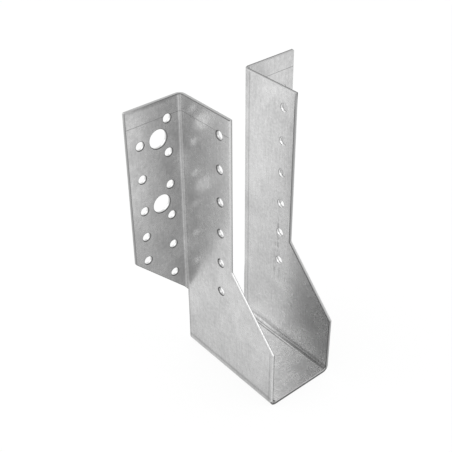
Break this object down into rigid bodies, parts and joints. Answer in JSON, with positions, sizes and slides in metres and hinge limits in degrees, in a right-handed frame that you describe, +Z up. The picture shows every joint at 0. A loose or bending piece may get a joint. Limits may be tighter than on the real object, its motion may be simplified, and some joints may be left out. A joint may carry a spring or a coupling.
{
  "type": "joist hanger",
  "caption": "Face-fix joist hanger folded from one strip of galvanised sheet: a seat, two notched side walls and two outward flanges with nail and bolt holes.",
  "frame": {"origin": "under the seat, midway between the walls and midway from the seat's front edge to the header's face", "axes": "+X across the joist, to the right of someone facing the header; +Y into the header; +Z up, along the joist's depth"},
  "size_m": [0.115, 0.076, 0.17],
  "materials": {
    "galvanised_sheet": "satin zinc coating, fine rolling marks"
  },
  "bodies": {
    "root": {"hanger": "galvanised_sheet"}
  },
  "joints": []
}
